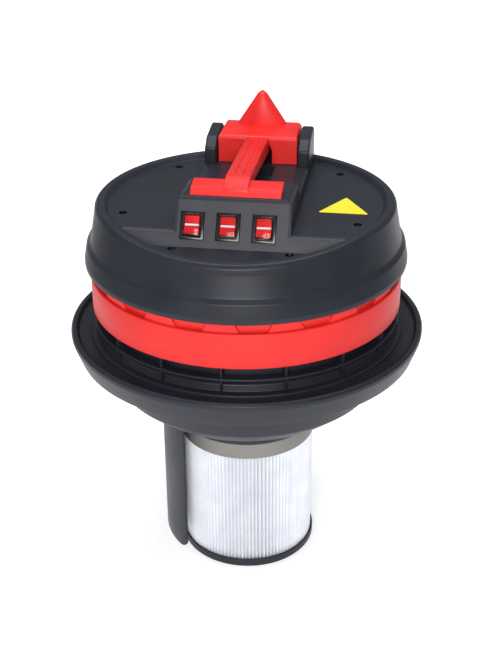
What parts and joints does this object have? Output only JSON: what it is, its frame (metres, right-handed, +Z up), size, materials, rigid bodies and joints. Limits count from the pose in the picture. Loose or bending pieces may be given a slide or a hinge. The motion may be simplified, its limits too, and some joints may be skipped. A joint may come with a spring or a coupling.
{
  "type": "shop vacuum power head",
  "caption": "Lift-off power head of a shop vacuum: ribbed motor drum with red band, rocker switches, carry handle, flanged tank lid, intake bowl and pleated cartridge filter.",
  "frame": {"origin": "centre of the flat underside of the filter's bottom cap, which the object stands on", "axes": "+Z up along the motor drum's axis, -Y towards the switch panel, +X to the right seen from the switch panel"},
  "size_m": [0.436, 0.436, 0.5729],
  "materials": {
    "black_plastic": "fine-grained moulded black plastic",
    "dark_plastic": "plain moulded dark plastic",
    "moulded_collar": "soft grey moulded collar",
    "filter_paper": "pleated filter cloth",
    "white_plastic": "plain white plastic",
    "steel": "zinc-plated steel",
    "plated_steel": "pressed plated steel",
    "lamination": "stacked steel laminations",
    "copper": "enamelled copper wire",
    "aluminium": "pressed aluminium",
    "carbon": "pressed carbon",
    "rubber": "black rubber",
    "foam": "open-cell foam",
    "red_plastic": "satin red moulded plastic",
    "rocker_red": "translucent red plastic",
    "switch_black": "glossy black plastic",
    "clear_film": "clear soft splash cap",
    "sticker": "printed yellow film"
  },
  "bodies": {
    "power_head": {"filter_bottom_cap": "black_plastic", "filter_media": "filter_paper", "filter_core": "dark_plastic", "filter_top_cap": "moulded_collar", "float_cage": "dark_plastic", "intake_bowl": "black_plastic", "inlet_deflector": "black_plastic", "deflector_screws": "steel", "tank_lid": "black_plastic", "lid_gasket": "rubber", "bowl_screws": "steel", "motor_housing": "black_plastic", "motor_gaskets": "rubber", "motor_top_rings": "rubber", "clamp_plate": "dark_plastic", "clamp_spacers": "steel", "clamp_bolts": "steel", "muffler_foam": "foam", "exhaust_ring": "red_plastic", "top_cover": "black_plastic", "cover_screws": "steel", "carry_handle": "red_plastic", "handle_screws": "steel", "deck_sticker": "sticker", "cord_gland": "rubber", "terminal_block": "white_plastic", "field_coils": "copper", "motor_bearings": "steel", "carbon_brushes": "carbon", "switch_1_body": "switch_black", "switch_1_cap": "clear_film", "switch_2_body": "switch_black", "switch_2_cap": "clear_film", "switch_3_body": "switch_black", "switch_3_cap": "clear_film", "motor_1_fan_case": "plated_steel", "motor_1_frame": "dark_plastic", "motor_1_stator": "lamination", "motor_2_fan_case": "plated_steel", "motor_2_frame": "dark_plastic", "motor_2_stator": "lamination", "motor_3_fan_case": "plated_steel", "motor_3_frame": "dark_plastic", "motor_3_stator": "lamination"},
    "float": {"float_ball": "white_plastic"},
    "rocker_1": {"switch_1_rocker": "rocker_red"},
    "rotor_1": {"motor_1_shaft": "steel", "motor_1_armature": "copper", "motor_1_impeller": "aluminium", "motor_1_cooling_fan": "dark_plastic"},
    "rocker_2": {"switch_2_rocker": "rocker_red"},
    "rotor_2": {"motor_2_shaft": "steel", "motor_2_armature": "copper", "motor_2_impeller": "aluminium", "motor_2_cooling_fan": "dark_plastic"},
    "rocker_3": {"switch_3_rocker": "rocker_red"},
    "rotor_3": {"motor_3_shaft": "steel", "motor_3_armature": "copper", "motor_3_impeller": "aluminium", "motor_3_cooling_fan": "dark_plastic"}
  },
  "joints": [
    {"name": "float_rise", "type": "slide", "parent": "power_head", "child": "float", "axis": [0, 0, 1], "range_m": [0, 0.0395]},
    {"name": "rocker_1_tilt", "type": "hinge", "parent": "power_head", "child": "rocker_1", "pos_m": [-0.0458, -0.09552, 0.4835], "axis": [1, 0, 0], "range_deg": [0, 18]},
    {"name": "rotor_1_spin", "type": "hinge", "parent": "power_head", "child": "rotor_1", "pos_m": [0, 0.087, 0.38], "axis": [0, 0, 1], "continuous": true},
    {"name": "rocker_2_tilt", "type": "hinge", "parent": "power_head", "child": "rocker_2", "pos_m": [-0.005, -0.09552, 0.4835], "axis": [1, 0, 0], "range_deg": [0, 18]},
    {"name": "rotor_2_spin", "type": "hinge", "parent": "power_head", "child": "rotor_2", "pos_m": [-0.07534, -0.0435, 0.38], "axis": [0, 0, 1], "continuous": true},
    {"name": "rocker_3_tilt", "type": "hinge", "parent": "power_head", "child": "rocker_3", "pos_m": [0.0358, -0.09552, 0.4835], "axis": [1, 0, 0], "range_deg": [0, 18]},
    {"name": "rotor_3_spin", "type": "hinge", "parent": "power_head", "child": "rotor_3", "pos_m": [0.07534, -0.0435, 0.38], "axis": [0, 0, 1], "continuous": true}
  ]
}
